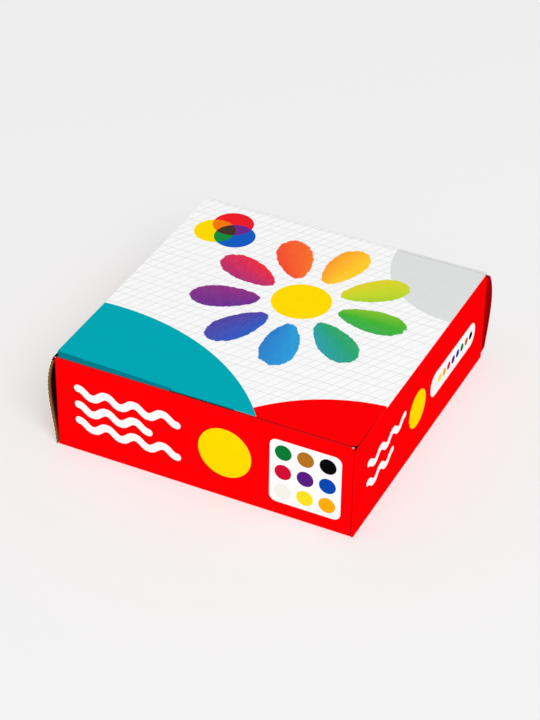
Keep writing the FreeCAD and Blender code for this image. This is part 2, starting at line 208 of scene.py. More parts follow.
class Finish:
    """One node material, written as masks and colours. Lengths are millimetres, masks from 0 to 1."""

    soft = 0.06     # half the width of a step from one colour to another
    crisp = 0.03    # the same for a hard step

    def __init__(self, name):
        self.material = bpy.data.materials.new(name)
        self.material.use_nodes = True
        self.tree = self.material.node_tree
        self.shader = self.tree.nodes["Principled BSDF"]
        coords = self.tree.nodes.new("ShaderNodeTexCoord")
        self.place = coords.outputs["Object"]
        self.normal = coords.outputs["Normal"]
        self.x, self.y, self.z = self.split(self.vector("SCALE", self.place, scale=1 / MM))

    def feed(self, socket, value):
        if isinstance(value, bpy.types.NodeSocket):
            self.tree.links.new(value, socket)
        elif value is not None:
            if socket.type == "RGBA" and len(value) == 3:
                value = (*value, 1.0)
            socket.default_value = value

    def math(self, operation, first, second=None, third=None):
        node = self.tree.nodes.new("ShaderNodeMath")
        node.operation = operation
        for socket, value in zip(node.inputs, (first, second, third)):
            self.feed(socket, value)
        return node.outputs[0]

    def vector(self, operation, first, second=None, scale=None):
        node = self.tree.nodes.new("ShaderNodeVectorMath")
        node.operation = operation
        self.feed(node.inputs[0], first)
        if scale is None:
            self.feed(node.inputs[1], second)
        else:
            self.feed(node.inputs["Scale"], scale)
        return node.outputs["Value" if operation == "DOT_PRODUCT" else "Vector"]

    def split(self, vector):
        node = self.tree.nodes.new("ShaderNodeSeparateXYZ")
        self.feed(node.inputs[0], vector)
        return node.outputs

    def minus(self, value, less):
        return self.math("SUBTRACT", value, less)

    def times(self, value, factor):
        return self.math("MULTIPLY", value, factor)

    def either(self, *masks):
        total = masks[0]
        for mask in masks[1:]:
            total = self.math("MAXIMUM", total, mask)
        return total

    def both(self, *masks):
        total = masks[0]
        for mask in masks[1:]:
            total = self.math("MINIMUM", total, mask)
        return total

    def other(self, mask):
        return self.minus(1.0, mask)

    def under(self, value, limit, soft=None):
        """1 where value is below limit, 0 above it, with a soft step."""
        soft = soft or self.soft
        node = self.tree.nodes.new("ShaderNodeMapRange")
        node.interpolation_type = "SMOOTHSTEP"
        self.feed(node.inputs["Value"], value)
        node.inputs["From Min"].default_value = limit - soft
        node.inputs["From Max"].default_value = limit + soft
        node.inputs["To Min"].default_value = 1.0
        node.inputs["To Max"].default_value = 0.0
        return node.outputs[0]

    def above(self, value, limit, soft=None):
        """1 where value is above limit, 0 below it, with a soft step."""
        return self.other(self.under(value, limit, soft))

    def faces(self, direction, share, soft):
        """1 where the surface looks towards a direction: where their cosine is past the share."""
        opposite = [-part for part in direction]
        return self.under(self.vector("DOT_PRODUCT", self.normal, opposite), -share, soft)

    def span(self, across, along):
        """Distance of a point from the origin of two coordinates."""
        squares = self.math("MULTIPLY_ADD", across, across, self.times(along, along))
        return self.math("SQRT", squares)

    def paint(self, mask, ground, colour):
        """Colour laid over ground where the mask is 1."""
        node = self.tree.nodes.new("ShaderNodeMix")
        node.data_type = "RGBA"
        self.feed(node.inputs[0], mask)
        self.feed(node.inputs[6], ground)
        self.feed(node.inputs[7], colour)
        return node.outputs[2]

    def noise(self, feature, detail=2.0, stretch=None):
        """Noise from 0 to 1 with features of that many millimetres, stretched along some axes."""
        place = self.place
        if stretch:
            place = self.vector("DIVIDE", place, stretch)
        node = self.tree.nodes.new("ShaderNodeTexNoise")
        self.feed(node.inputs["Vector"], place)
        node.inputs["Scale"].default_value = 1 / (feature * MM)
        node.inputs["Detail"].default_value = detail
        return node.outputs[0]

    def ramp(self, value, colours, blend="CONSTANT"):
        """Colours from 0 to 1: equal steps, or a blend from the first to the last."""
        node = self.tree.nodes.new("ShaderNodeValToRGB")
        node.color_ramp.interpolation = blend
        self.feed(node.inputs[0], value)
        stops = node.color_ramp.elements
        while len(stops) < len(colours):
            stops.new(1.0)
        count = len(colours) if blend == "CONSTANT" else len(colours) - 1
        for index, colour in enumerate(colours):
            stops[index].position = index / count
            stops[index].color = (*colour, 1.0)
        return node.outputs[0]

    def between(self, value, low, high):
        """Value moved from the range 0 to 1 to the range low to high."""
        return self.math("MULTIPLY_ADD", value, high - low, low)

    def bump(self, height, depth, strength=1.0, over=None):
        """Relief of that many millimetres."""
        node = self.tree.nodes.new("ShaderNodeBump")
        node.inputs["Strength"].default_value = strength
        node.inputs["Distance"].default_value = depth * MM
        self.feed(node.inputs["Height"], height)
        self.feed(node.inputs["Normal"], over)
        return node.outputs[0]

    def put(self, **sockets):
        """Shader sockets by name, with _ for a space."""
        for name, value in sockets.items():
            self.feed(self.shader.inputs[name.replace("_", " ")], value)
        return self.material


def settings():
    return bpy.context.scene.paint_box


def rainbow():
    """The nine paints in the order of the pots."""
    pots = settings().pots
    return [tuple(getattr(pots, "paint_" + name)) for name in PAINTS]


# Places on the carton, read off the frame

def thickness():
    """Thickness of the board, in metres."""
    low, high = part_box("front_wall")
    return high[1] - low[1]


def points_of(node):
    """Places of a CAD node's points."""
    target = frame["nodes"][node]
    return [target.matrix_world @ vertex.co for vertex in target.data.vertices]


def lid_front():
    """Y of the lid's front fold, without the thumb tab."""
    axis = JOINTS["tuck_fold"]["pos_m"]
    return axis[1] - (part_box("lid_panel")[1][2] - axis[2])


def tab_span():
    """Left and right ends of the lid's thumb tab: the only points before the front fold lie on it."""
    limit = lid_front() - SAME_PLACE
    across = [point.x for point in points_of("lid_panel") if point.y < limit]
    return min(across), max(across)


def lid_inset(y):
    """How far the slanted front corners of the lid lie inside its sides at one depth."""
    low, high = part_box("lid_panel")
    fold = JOINTS["tuck_fold"]["pos_m"][1]
    top = [point for point in points_of("lid_panel") if point.z > high[2] - SAME_PLACE]
    start = min(point.y for point in top if point.x < low[0] + SAME_PLACE)
    inset = min(point.x for point in top if point.y < fold + SAME_PLACE) - low[0]
    return inset * max(0.0, start - y) / (start - fold)


def left_bow(finish):
    """How far the left wall stands out at each height, in millimetres."""
    low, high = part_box("left_outer_wall")
    foot = thickness() / 2
    bow = (-low[0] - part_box("right_outer_wall")[1][0]) / MM
    share = settings().carton.left_lean
    steps = 100
    peak = max(u * (1 - u) * (1 + share * u) for u in (step / steps for step in range(steps + 1)))
    rise = finish.times(finish.minus(finish.z, foot / MM), MM / (high[2] - foot))
    lean = finish.times(rise, finish.other(rise))
    lean = finish.times(lean, finish.math("MULTIPLY_ADD", rise, share, 1.0))
    return finish.times(lean, bow / peak)


# Board: print on one side, kraft on the other, bare paper on the cut edges

def corrugation(finish, through, along):
    """Papers seen on a cut edge: 1 on the paper, 0 in the hollows. Both coordinates are millimetres."""
    carton = settings().carton
    liner, medium = carton.liner / MM, carton.medium / MM
    half = thickness() / 2 / MM
    middle = finish.minus(through, half)
    papers = [finish.above(finish.math("ABSOLUTE", middle), half - liner, finish.crisp)]
    if along is not None:
        phase = finish.times(along, 2 * math.pi * MM / carton.flute_pitch)
        swing = finish.times(finish.math("SINE", phase), half - liner - medium / 2)
        away = finish.math("ABSOLUTE", finish.minus(middle, swing))
        papers.append(finish.under(away, medium / 2, finish.crisp))
    return finish.either(*papers)


def brown_paper(finish):
    """Strands of the brown paper, and its colour with them."""
    carton = settings().carton
    strand_share = 0.55
    strands = finish.noise(feature=0.5, detail=4.0, stretch=(4.0, 1.0, 1.0))
    return strands, finish.paint(finish.times(strands, strand_share), carton.kraft, carton.kraft_dark_and_shade)


def board(name, facing, cuts, printed, ripple, bare_share=0.55, edges=None, lining=None):
    """Material of one panel.

    Printed draws the outer side, which looks towards facing, and lining the inner one. Cuts are the
    directions of the cut edges, bare_share is how bare of ink they are, and edges gives the two coordinates
    of their corrugation. The flutes ripple along one direction.
    """
    carton = settings().carton
    finish = Finish(name)
    mottle_share, speck_share, speck_limit, coat_soft = 0.07, 0.5, 0.36, 0.1
    fibre = finish.noise(feature=0.35, detail=3.0)
    mottle = finish.noise(feature=3.0)
    outer = finish.paint(finish.times(mottle, mottle_share), printed(finish), carton.ink_shade)
    strands, inner = brown_paper(finish)
    specks = finish.under(finish.noise(feature=0.9), speck_limit, finish.crisp)
    inner = finish.paint(finish.times(specks, speck_share), inner, carton.kraft_dark_and_shade)
    if lining:
        inner = lining(finish, inner)
    reverse = finish.faces([-part for part in facing], share=0.5, soft=0.1)
    colour = finish.paint(reverse, outer, inner)
    if cuts:
        raw = finish.paint(strands, carton.cut_edge, carton.kraft)
        if edges:
            through, along = edges(finish)
            coated = finish.under(through, carton.coat / MM, coat_soft)
            raw = finish.paint(coated, carton.fluted, carton.cut_edge)
            # Painted shade: the hollows between the papers are coloured dark kraft
            raw = finish.paint(corrugation(finish, through, along), carton.kraft_dark_and_shade, raw)
        cut = finish.either(*[finish.faces(side, share=0.75, soft=0.05) for side in cuts])
        colour = finish.paint(cut, colour, finish.paint(bare_share, outer, raw))
    relief = finish.bump(fibre, depth=0.012, strength=0.5)
    phase = finish.vector("DOT_PRODUCT", finish.place, ripple)
    flutes = finish.math("SINE", finish.times(phase, 2 * math.pi / carton.flute_pitch))
    relief = finish.bump(flutes, depth=0.006, strength=0.6, over=relief)
    rough = finish.between(finish.either(fibre, reverse), low=0.45, high=0.75)
    return finish.put(Base_Color=colour, Roughness=rough, Normal=relief, Specular_IOR_Level=0.0)


def kraft_paper():
    """Brown paper inside a crease."""
    finish = Finish("kraft_paper")
    strands, colour = brown_paper(finish)
    rough = finish.between(strands, low=0.6, high=0.8)
    relief = finish.bump(strands, depth=0.01, strength=0.4)
    return finish.put(Base_Color=colour, Roughness=rough, Normal=relief, Specular_IOR_Level=0.1)


def fold_paper(name, side):
    """The lid's print on a paper that rolls from the top over to one side, brown inside."""
    facing = (Vector(ABOVE) + Vector(side)).normalized()
    return board(name, tuple(facing), (), lid_print, RIGHT)


# Print on the panels

class Sheet:
    """Print on one panel: shapes laid over a ground. Places are millimetres from the panel's origin."""

    def __init__(self, finish, ground, origin, across, along, flip=False):
        self.finish = finish
        self.ground = ground
        self.across = self.count(origin, across)
        self.along = self.count(origin, along)
        if flip:
            self.across = finish.times(self.across, -1.0)

    def count(self, origin, axis):
        """Coordinate along one axis, from the origin."""
        index = "xyz".index(axis)
        places = (self.finish.x, self.finish.y, self.finish.z)
        return self.finish.minus(places[index], origin[index] / MM)

    def lay(self, mask, colour):
        """Colour over the ground where the mask is 1."""
        self.ground = self.finish.paint(mask, self.ground, colour)

    def disc(self, centre, radius):
        """Mask of a round spot."""
        finish = self.finish
        reach = finish.span(finish.minus(self.across, centre[0]), finish.minus(self.along, centre[1]))
        return finish.under(reach, radius)

    def panel(self, centre, half, corner):
        """Mask of a rectangle with round corners."""
        finish = self.finish
        reach = []
        for value, middle, extent in zip((self.across, self.along), centre, half):
            past = finish.minus(finish.math("ABSOLUTE", finish.minus(value, middle)), extent - corner)
            reach.append(finish.either(past, 0.0))
        return finish.under(finish.span(*reach), corner)

    def wave(self, start, bends, level, swing, period, half):
        """Mask of a wavy stroke of even width with round ends, which lie on crests or in troughs."""
        finish = self.finish
        inside = finish.both(finish.either(self.across, start), start + bends * period / 2)
        pace = 2 * math.pi / period
        phase = finish.times(finish.minus(inside, start), pace)
        height = finish.math("MULTIPLY_ADD", finish.math("COSINE", phase), swing, level)
        slope = finish.times(finish.math("SINE", phase), swing * pace)
        steepness = finish.math("SQRT", finish.math("MULTIPLY_ADD", slope, slope, 1.0))
        aside = finish.math("DIVIDE", finish.minus(self.along, height), steepness)
        return finish.under(finish.span(finish.minus(self.across, inside), aside), half)

    def dots(self, corner, step, radius, columns, rows):
        """Lays rows of round dots in the nine paints."""
        finish = self.finish
        first = finish.times(finish.minus(self.across, corner[0]), 1 / step)
        second = finish.times(finish.minus(self.along, corner[1]), 1 / step)
        column, line = finish.math("FLOOR", first), finish.math("FLOOR", second)
        near = finish.span(
            finish.times(finish.minus(finish.minus(first, column), 0.5), step),
            finish.times(finish.minus(finish.minus(second, line), 0.5), step))
        half = (columns * step / 2, rows * step / 2)
        field = self.panel((corner[0] + half[0], corner[1] + half[1]), half, step / 2)
        order = finish.math("MULTIPLY_ADD", line, float(columns), column)
        spot = finish.times(finish.math("ADD", order, 0.5), 1 / (columns * rows))
        self.lay(finish.both(field, finish.under(near, radius)), finish.ramp(spot, rainbow()))


def ruling(sheet):
    """Mask of the copybook ruling: pairs of level lines and slanted lines."""
    finish = sheet.finish
    period, pair = 11.17, 4.4
    slant, slant_step = math.radians(63.7), 3.55
    line_half = 0.11
    level = finish.math("FLOORED_MODULO", sheet.along, period)
    lean = finish.math("MULTIPLY_ADD", sheet.along, -1 / math.tan(slant), sheet.across)
    lean = finish.math("FLOORED_MODULO", lean, slant_step)
    lines = []
    for place, middle in ((level, period / 4), (level, period / 4 + pair), (lean, slant_step / 2)):
        lines.append(finish.under(finish.math("ABSOLUTE", finish.minus(place, middle)), line_half))
    return finish.either(*lines)


def mixing_discs(sheet, centre, radius):
    """Lays three overlapping discs whose overlaps show the mixed colours."""
    both = sheet.finish.both
    shift_share = 0.62
    shift = radius * shift_share
    discs = []
    for angle in (math.radians(degrees) for degrees in (90, 210, 330)):
        spot = (centre[0] + shift * math.cos(angle), centre[1] + shift * math.sin(angle))
        discs.append(sheet.disc(spot, radius))
    red, yellow, blue = discs
    sheet.lay(red, shade(236, 30, 40))
    sheet.lay(yellow, shade(253, 216, 2))
    sheet.lay(blue, shade(20, 90, 190))
    sheet.lay(both(red, yellow), shade(244, 120, 10))
    sheet.lay(both(yellow, blue), shade(20, 140, 60))
    sheet.lay(both(red, blue), shade(110, 40, 140))
    sheet.lay(both(red, yellow, blue), shade(70, 50, 40))


def colour_wheel(sheet, centre, inner, outer, width):
    """Lays dabs of paint round a plain disc, as many as there are paints."""
    finish, carton = sheet.finish, settings().carton
    hub_gap, ragged_share, streak_share, edge_soft = 4.0, 0.1, 0.06, 0.02
    hues = (
        (150, 20, 120), (88, 24, 140), (10, 80, 190), (0, 150, 214), (0, 160, 110),
        (50, 176, 20), (190, 214, 0), (254, 200, 0), (250, 104, 0), (240, 10, 20))
    wheel = [shade(*hue) for hue in hues + hues[:1]]
    step = 2 * math.pi / len(PAINTS)
    middle, half = (inner + outer) / 2, (outer - inner) / 2
    right = finish.minus(sheet.across, centre[0])
    ahead = finish.minus(sheet.along, centre[1])
    reach = finish.span(right, ahead)
    angle = finish.math("ARCTAN2", ahead, right)
    sector = finish.math("FLOOR", finish.math("MULTIPLY_ADD", angle, 1 / step, 0.5))
    local = finish.math("MULTIPLY_ADD", sector, -step, angle)
    radial = finish.times(reach, finish.math("COSINE", local))
    aside = finish.times(reach, finish.math("SINE", local))
    outwards = finish.times(finish.minus(radial, inner), 1 / (outer - inner))
    swell = finish.between(outwards, low=0.7, high=1.1)
    shape = finish.span(
        finish.times(finish.minus(radial, middle), 1 / half),
        finish.math("DIVIDE", finish.times(aside, 2 / width), swell))
    ragged = finish.between(finish.noise(feature=2.2, detail=3.0), -ragged_share, ragged_share)
    dab = finish.under(finish.math("ADD", shape, ragged), 1.0, edge_soft)
    spot = finish.math("MULTIPLY_ADD", angle, 0.5 / math.pi, 0.5)
    streak = finish.noise(feature=0.8, detail=3.0, stretch=(1.0, 6.0, 1.0))
    blend = finish.ramp(spot, wheel, "LINEAR")
    sheet.lay(dab, finish.paint(finish.times(streak, streak_share), blend, carton.white))
    sheet.lay(sheet.disc(centre, inner - hub_gap), carton.yellow)


def lid_fields(sheet):
    """Lays the red and teal fields that run over the front fold, and a painted shade band on the teal one where
    the fold rolls down.
    """
    finish, carton = sheet.finish, settings().carton
    shade_band_depth, shade_band_slope, shade_band_soft = 2.4, 0.036, 0.45
    sheet.lay(sheet.disc(centre=(132.0, -39.0), radius=66.0), carton.red)
    sheet.lay(sheet.disc(centre=(6.0, -60.0), radius=99.0), carton.teal)
    # Painted shade: a darker teal band along the front fold, left of the thumb tab
    slanted = finish.math("MULTIPLY_ADD", sheet.across, shade_band_slope, sheet.along)
    shade_band = finish.under(slanted, shade_band_depth, shade_band_soft)
    sheet.lay(finish.both(shade_band, finish.under(finish.x, tab_span()[0] / MM)), carton.shaded_teal)


def lid_edge(sheet):
    """Lays a painted shade line low on the lid's right edge near the front, and the brown inside of its crease."""
    finish, carton = sheet.finish, settings().carton
    low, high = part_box("lid_panel")
    rim, line_height, line_soft, fade, fade_soft = 0.2, 0.6, 0.2, 16.0, 14.0
    # Painted shade: a dark line for the shadow gap between the lid and the right wall
    shade_line = finish.both(
        finish.above(sheet.across, (high[0] - low[0]) / MM - rim),
        finish.under(finish.z, low[2] / MM + line_height, line_soft),
        finish.under(sheet.along, fade, fade_soft))
    sheet.lay(shade_line, carton.painted_shade)
    hinge_y, hinge_z = (place / MM for place in JOINTS["lid_hinge"]["pos_m"][1:])
    sheet.lay(finish.both(finish.above(finish.y, hinge_y), finish.under(finish.z, hinge_z)), carton.kraft)


def lid_print(finish):
    """Ruled white board with its fields, dabs and discs, counted from the front left corner."""
    carton = settings().carton
    low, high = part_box("lid_panel")
    rear_right = ((high[0] - low[0]) / MM, (high[1] - lid_front()) / MM)
    sheet = Sheet(finish, carton.white, (low[0], lid_front(), low[2]), "x", "y")
    sheet.lay(ruling(sheet), carton.rule)
    sheet.lay(sheet.disc(rear_right, radius=38.0), carton.grey)
    mixing_discs(sheet, centre=(19.0, 107.0), radius=8.5)
    colour_wheel(sheet, centre=(68.0, 74.0), inner=16.0, outer=44.0, width=16.0)
    lid_fields(sheet)
    lid_edge(sheet)
    return sheet.ground


def flap_print(finish):
    """The lid's two fields, run on over the fold."""
    carton = settings().carton
    meeting = 84.7
    across = finish.minus(finish.x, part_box("lid_panel")[0][0] / MM)
    return finish.paint(finish.under(across, meeting), carton.red, carton.teal)


def front_edge(sheet):
    """Lays the front wall's top edge: deeper red as painted shade, with worn ends, and its inner half along the
    lid darkened as painted shade.
    """
    finish, carton = sheet.finish, settings().carton
    low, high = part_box("front_wall")
    width, height = (high[0] - low[0]) / MM, (high[2] - low[2]) / MM
    rim, red_shade_share, inner_soft = 0.1, 0.6, 0.25
    wear, wear_soft, wear_ragged, wear_squash, wear_share = 0.6, 0.2, 0.3, 1.6, 0.5
    top = finish.above(sheet.along, height - rim, finish.crisp)
    # Painted shade: the top rim is laid in the darker red
    sheet.lay(finish.times(top, red_shade_share), carton.shaded_red)
    ragged = finish.between(finish.noise(feature=0.5), -wear_ragged, wear_ragged)
    below = finish.times(finish.minus(sheet.along, height), wear_squash)
    for end in (0.0, width):
        reach = finish.math("ADD", finish.span(finish.minus(sheet.across, end), below), ragged)
        sheet.lay(finish.times(finish.under(reach, wear, wear_soft), wear_share), carton.white)
    # Painted shade: the inner half of the top edge along the lid is darkened: teal beside the field, near black
    # before the tab, darkest past the lid's end
    shaded_inner_half = finish.both(top, finish.above(finish.y, (low[1] + high[1]) / 2 / MM, inner_soft))
    tab_left, tab_right = (place / MM for place in tab_span())
    lid_end = (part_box("lid_panel")[1][0] - lid_inset(lid_front())) / MM
    beside_tab = finish.under(finish.x, tab_left)
    before_tab = finish.both(finish.other(beside_tab), finish.under(finish.x, tab_right))
    past_lid = finish.above(finish.math("ABSOLUTE", finish.x), lid_end)
    sheet.lay(finish.both(shaded_inner_half, beside_tab), carton.edge_shade_teal)
    sheet.lay(finish.both(shaded_inner_half, before_tab), carton.seam)
    sheet.lay(finish.both(shaded_inner_half, past_lid), carton.painted_shade)


def front_print(finish):
    """Strokes, disc and dots, counted from the lower left corner."""
    carton = settings().carton
    sheet = Sheet(finish, carton.red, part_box("front_wall")[0], "x", "z")
    sheet.lay(sheet.disc(centre=(72.0, 21.0), radius=11.0), carton.yellow)
    for level, bends in ((28.5, 7), (21.0, 5), (13.5, 7)):
        stroke = sheet.wave(start=10.0, bends=bends, level=level, swing=1.5, period=12.0, half=1.7)
        sheet.lay(stroke, carton.white)
    sheet.lay(sheet.panel(centre=(105.0, 20.5), half=(14.5, 14.5), corner=3.0), carton.white)
    sheet.dots(corner=(91.5, 7.0), step=9.0, radius=3.4, columns=3, rows=3)
    front_edge(sheet)
    return sheet.ground


def side_print(node, flip):
    """Print of a side wall; flip counts from the other end, and the left wall's top is an open fold with painted
    shade in its hollow near the front.
    """
    def draw(finish):
        carton = settings().carton
        low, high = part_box(node)
        start = (low[0], high[1] if flip else low[1], low[2])
        sheet = Sheet(finish, carton.red, start, "y", "z", flip)
        for level, bends in ((25.0, 6), (16.0, 4)):
            stroke = sheet.wave(start=12.0, bends=bends, level=level, swing=1.4, period=11.0, half=1.5)
            sheet.lay(stroke, carton.white)
        sheet.lay(sheet.disc(centre=(58.0, 20.5), radius=8.0), carton.yellow)
        sheet.lay(sheet.panel(centre=(94.0, 20.5), half=(23.0, 5.4), corner=5.0), carton.white)
        sheet.dots(corner=(73.3, 18.2), step=4.6, radius=1.7, columns=9, rows=1)
        if flip:
            # Painted shade: the fold's top near the front is darkened for its hollow
            rim, shade_length, shade_length_soft = 0.15, 1.4, 0.4
            fold = finish.above(sheet.along, (high[2] - low[2]) / MM - rim)
            sheet.lay(finish.both(fold, finish.under(finish.y, low[1] / MM + shade_length, shade_length_soft)), carton.painted_shade)
        return sheet.ground
    return draw


def back_print(finish):
    """Plate, stroke, dots and white crease, counted from the lower left corner as seen from behind."""
    carton = settings().carton
    low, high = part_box("back_wall")
    crease_height = 0.9
    sheet = Sheet(finish, carton.red, (high[0], low[1], low[2]), "x", "z", True)
    sheet.lay(sheet.panel(centre=(30.0, 20.0), half=(19.0, 11.0), corner=2.5), carton.white)
    sheet.lay(sheet.wave(start=60.0, bends=8, level=26.0, swing=1.5, period=12.0, half=1.7), carton.white)
    sheet.lay(sheet.panel(centre=(84.0, 13.5), half=(30.0, 4.4), corner=4.2), carton.white)
    sheet.dots(corner=(55.2, 10.3), step=6.4, radius=2.3, columns=9, rows=1)
    crease = finish.above(finish.z, high[2] / MM - crease_height)
    inside = finish.under(finish.y, JOINTS["lid_hinge"]["pos_m"][1] / MM)
    sheet.lay(crease, carton.white)
    sheet.lay(finish.both(crease, inside), carton.kraft)
    return sheet.ground


def roll_print(node, limit):
    """Red, with painted shade in the hollow of the fold at its front end, as far out as the limit."""
    def draw(finish):
        carton = settings().carton
        hollow_length, hollow_soft = 2.9, 0.3
        # Painted shade: the fold's front end is darkened for its hollow
        hollow = finish.under(finish.y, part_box(node)[0][1] / MM + hollow_length, hollow_soft)
        hollow = finish.both(hollow, finish.under(finish.x, limit / MM))
        return finish.paint(hollow, carton.red, carton.painted_shade)
    return draw


def bleed_print(finish):
    """White board with the red of the roll-over running down a little way."""
    carton = settings().carton
    bleed, ragged = 5.0, 0.4
    edge = finish.between(finish.noise(feature=6.0), -ragged, ragged)
    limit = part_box("right_inner_wall")[1][2] / MM - bleed
    bled = finish.above(finish.math("ADD", finish.z, edge), limit)
    return finish.paint(bled, carton.white, carton.red)


def base_print(finish):
    """White underside with a red border."""
    carton = settings().carton
    low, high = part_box("base_panel")
    border = 4.0
    half = [(end - start) / MM / 2 - border for start, end in zip(low[:2], high[:2])]
    sheet = Sheet(finish, carton.red, (0.0, 0.0, 0.0), "x", "y")
    sheet.lay(sheet.panel(centre=(0.0, 0.0), half=half, corner=3.0), carton.white)
    return sheet.ground


def plain_red(finish):
    return settings().carton.red


# Painted shade: the back corner flaps are coloured darker red for the shade they stand in
def shaded_red(finish):
    return settings().carton.shaded_red


def left_lining(finish, inner):
    """Kraft with painted shade that darkens into the gap beside the front wall."""
    carton = settings().carton
    shaded_share, lit_depth, lit_soft = 0.45, 0.7, 1.3
    depth = finish.minus(finish.y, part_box("left_outer_wall")[0][1] / MM)
    shaded = finish.paint(shaded_share, inner, carton.kraft_dark_and_shade)
    return finish.paint(finish.above(depth, lit_depth, lit_soft), shaded, carton.painted_shade)


def wall_edges(side):
    """Coordinates of a side wall's cut ends: from its outer face inwards, and up."""
    def measure(finish):
        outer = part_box("right_outer_wall")[1][0] / MM
        depth = finish.minus(outer, finish.times(finish.x, side))
        if side < 0:
            depth = finish.math("ADD", depth, left_bow(finish))
        return depth, finish.z
    return measure


def front_edges(finish):
    """Coordinates of the front wall's cut top: from its outer face inwards, and along."""
    return finish.minus(finish.y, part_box("front_wall")[0][1] / MM), finish.x


def lid_edges(finish):
    """Coordinates of the lid's cut sides: up from its inner face; the flutes run along them."""
    return finish.minus(finish.z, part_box("lid_panel")[0][2] / MM), None


def carton_boards():
    """Each carton node with its material."""
    ends = (FRONT, REAR)
    sides = (LEFT, RIGHT)
    left_side = side_print("left_outer_wall", True)
    right_side = side_print("right_outer_wall", False)
    left_roll = roll_print("left_roll_over", 0.0)
    right_roll = roll_print("right_roll_over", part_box("lid_panel")[1][0])
    boards = {
        "lid_panel": board(
            "lid_board", ABOVE, sides, lid_print, RIGHT, bare_share=0.02, edges=lid_edges),
        "tuck_flap": board("tuck_board", FRONT, (*sides, BELOW), flap_print, RIGHT),
        "front_wall": board(
            "front_board", FRONT, (ABOVE,), front_print, RIGHT, bare_share=0.02, edges=front_edges),
        "back_wall": board("back_board", REAR, sides, back_print, RIGHT),
        "left_outer_wall": board(
            "left_board", LEFT, ends, left_side, ABOVE, bare_share=1.0, edges=wall_edges(-1.0),
            lining=left_lining),
        "right_outer_wall": board(
            "right_board", RIGHT, ends, right_side, ABOVE, bare_share=0.0, edges=wall_edges(1.0)),
        "left_roll_over": board("left_roll", ABOVE, (REAR,), left_roll, REAR, bare_share=0.3),
        "right_roll_over": board("right_roll", ABOVE, (REAR,), right_roll, REAR, bare_share=0.3),
        "left_inner_wall": board("left_inner_board", RIGHT, ends, bleed_print, ABOVE),
        "right_inner_wall": board("right_inner_board", LEFT, ends, bleed_print, ABOVE),
        "base_panel": board("base_board", BELOW, (), base_print, RIGHT),
    }
    for side, facing in (("left", LEFT), ("right", RIGHT)):
        front_flap = board("front_flap_" + side, facing, (REAR,), plain_red, ABOVE)
        # The back flaps' darker red is painted shade
        back_flap = board("back_flap_" + side, facing, (), shaded_red, ABOVE)
        boards["front_%s_corner_flap" % side] = front_flap
        boards["back_%s_corner_flap" % side] = back_flap
    return boards


# Plastics, paint and floor

def dimmed(colour, share):
    return [value * share for value in colour]


def cap_plastic():
    finish = Finish("cap_plastic")
    tone = settings().pots.cap
    cloud_share, cloud_dim = 0.12, 0.9
    cloud = finish.noise(feature=9.0)
    grain = finish.noise(feature=0.25)
    return finish.put(
        Base_Color=finish.paint(finish.times(cloud, cloud_share), tone, dimmed(tone, cloud_dim)),
        Roughness=finish.between(grain, low=0.3, high=0.42),
        Normal=finish.bump(grain, depth=0.01, strength=0.35),
        Subsurface_Weight=0.12,
        Subsurface_Radius=(0.002, 0.002, 0.0018),
        Subsurface_Scale=0.5)


def jar_plastic():
    finish = Finish("jar_plastic")
    flow_share, flow_tint = 0.1, shade(226, 236, 240)
    flow = finish.noise(feature=7.0, detail=1.0, stretch=(1.0, 1.0, 2.5))
    return finish.put(
        Base_Color=finish.paint(finish.times(flow, flow_share), settings().pots.jar, flow_tint),
        Roughness=finish.between(flow, low=0.04, high=0.1),
        Normal=finish.bump(flow, depth=0.03, strength=0.25),
        Transmission_Weight=0.95,
        IOR=1.49)


def gouache(name):
    finish = Finish("gouache_" + name)
    tone = getattr(settings().pots, "paint_" + name)
    swirl_share, fade_dim, fade_white = 0.35, 0.85, 0.06
    faded = [value + fade_white for value in dimmed(tone, fade_dim)]
    swirl = finish.noise(feature=6.0, detail=3.0, stretch=(1.0, 1.6, 0.8))
    grain = finish.noise(feature=0.4)
    return finish.put(
        Base_Color=finish.paint(finish.times(swirl, swirl_share), tone, faded),
        Roughness=finish.between(grain, low=0.3, high=0.45),
        Normal=finish.bump(swirl, depth=0.08, strength=0.4),
        Specular_IOR_Level=0.4)


def foam():
    finish = Finish("foam")
    tone = settings().pots.foam
    cell_size, wall_dim = 0.5, 0.86
    node = finish.tree.nodes.new("ShaderNodeTexVoronoi")
    finish.feed(node.inputs["Vector"], finish.place)
    node.inputs["Scale"].default_value = 1 / (cell_size * MM)
    cells = node.outputs["Distance"]
    return finish.put(
        Base_Color=finish.paint(cells, tone, dimmed(tone, wall_dim)),
        Roughness=finish.between(cells, low=0.6, high=0.8),
        Normal=finish.bump(cells, depth=0.05, strength=0.5))


def seen_plainly(tree):
    """1 for the rays that look at the background: straight, in a gloss or through glass."""
    path = tree.nodes.new("ShaderNodeLightPath")
    mask = path.outputs["Is Camera Ray"]
    for name in ("Is Glossy Ray", "Is Transmission Ray"):
        node = tree.nodes.new("ShaderNodeMath")
        node.operation = "MAXIMUM"
        tree.links.new(mask, node.inputs[0])
        tree.links.new(path.outputs[name], node.inputs[1])
        mask = node.outputs[0]
    return mask


